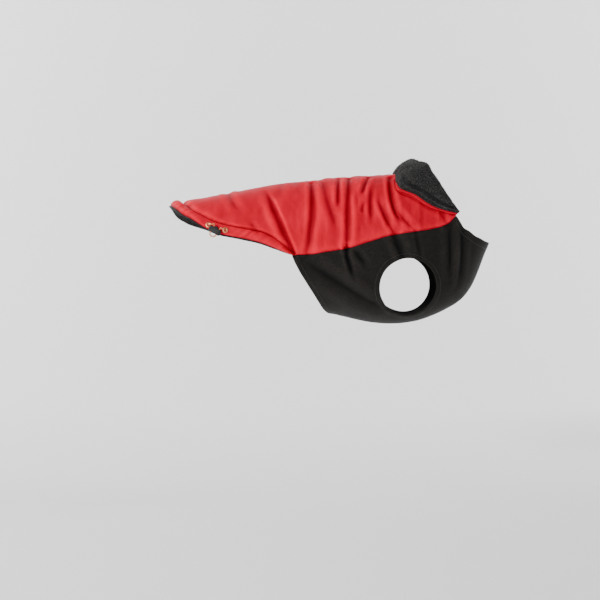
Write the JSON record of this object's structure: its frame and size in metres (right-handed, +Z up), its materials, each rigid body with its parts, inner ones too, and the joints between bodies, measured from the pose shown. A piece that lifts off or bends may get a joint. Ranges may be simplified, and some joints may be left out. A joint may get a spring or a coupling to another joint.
{
  "type": "dog coat",
  "caption": "Pull-on dog coat, worn shape: padded red back panel, black stretch under panel with leg holes, turned-down fleece collar, drawcord hem.",
  "frame": {"origin": "on the lining's inner face at the withers, where the coat rests on the wearer's back", "axes": "+X towards the wearer's head, +Y to the wearer's left, +Z up"},
  "size_m": [0.6218, 0.2128, 0.3189],
  "materials": {
    "red_nylon": "woven nylon with a slight sheen, lightly padded",
    "black_softshell": "matte stretch softshell",
    "black_fleece": "short-pile fleece",
    "peach_elastic": "braided elastic cord",
    "rose_gold": "plated metal eyelet",
    "black_plastic": "satin moulded plastic"
  },
  "bodies": {
    "root": {"back_panel": "red_nylon", "hem_channel": "red_nylon", "back_lining": "black_fleece", "under_panel_right": "black_softshell", "under_panel_left": "black_softshell", "collar_facing": "black_fleece", "collar_shell": "red_nylon", "eyelet_rear": "rose_gold", "eyelet_front": "rose_gold", "cord_lock_body": "black_plastic", "cord_lock_button": "black_plastic", "drawcord": "peach_elastic"}
  },
  "joints": []
}
